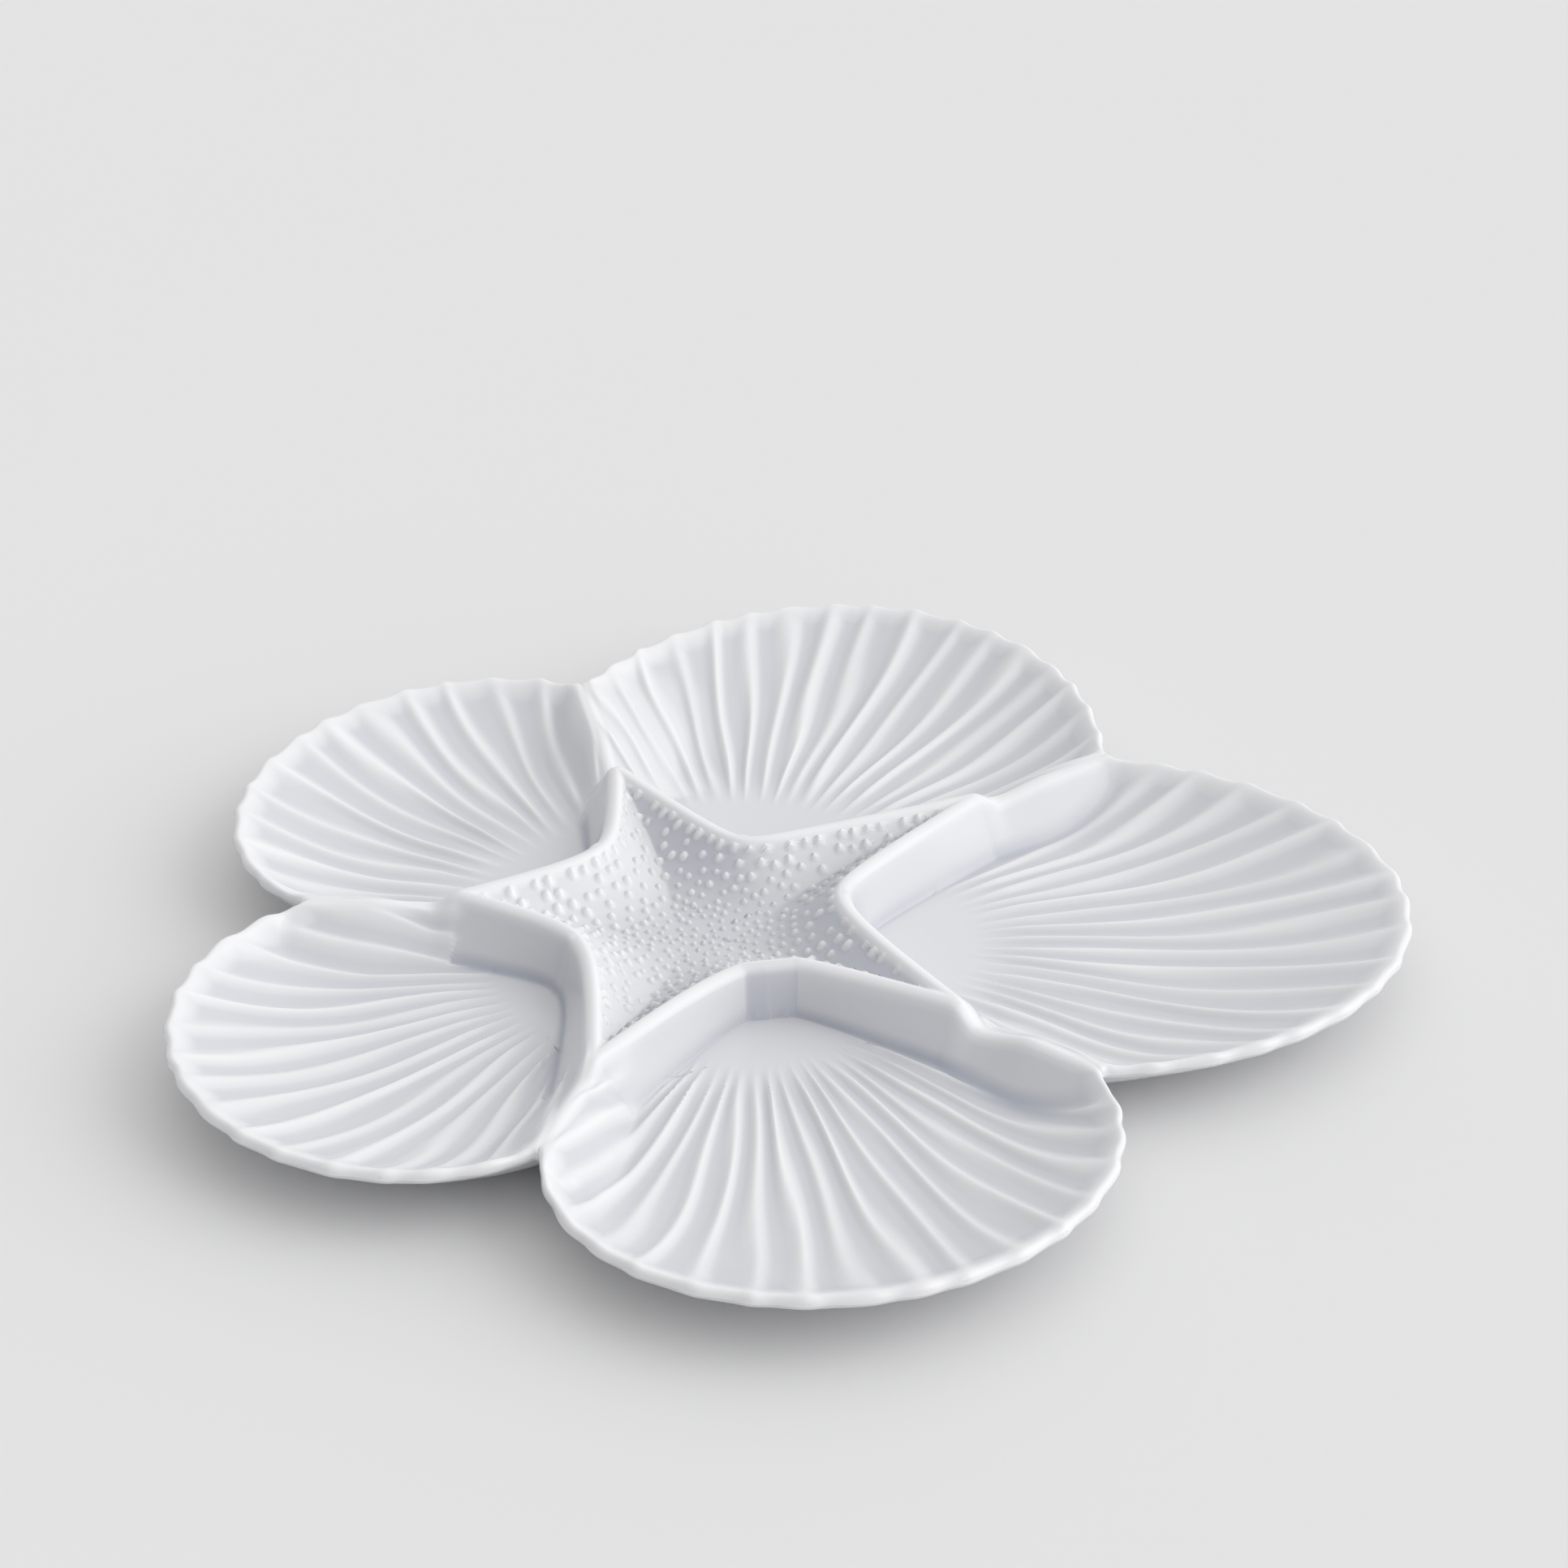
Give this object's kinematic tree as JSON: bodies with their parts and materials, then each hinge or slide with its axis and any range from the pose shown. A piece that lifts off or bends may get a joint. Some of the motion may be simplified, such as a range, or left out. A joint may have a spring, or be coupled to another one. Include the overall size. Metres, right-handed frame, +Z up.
{
  "type": "divided platter",
  "caption": "Glazed ceramic divided platter: fluted scallop-shell dishes set in a ring round a nodule-covered starfish well, standing on low foot rings, for serving snacks and dips.",
  "frame": {"origin": "on the table, under the middle of the platter's box", "axes": "+Z up, -Y towards the front shell and the viewer, +X to the right"},
  "size_m": [0.35, 0.3536, 0.025],
  "materials": {
    "glaze": "clear gloss glaze on white porcelain",
    "bisque": "bare fired clay"
  },
  "bodies": {
    "root": {"starfish_well": "glaze", "shell_dish_front": "glaze", "shell_dish_right": "glaze", "shell_dish_back": "glaze", "shell_dish_back_left": "glaze", "shell_dish_front_left": "glaze", "foot_ring_front": "bisque", "foot_ring_right": "bisque", "foot_ring_back": "bisque", "foot_ring_back_left": "bisque", "foot_ring_front_left": "bisque"}
  },
  "joints": []
}
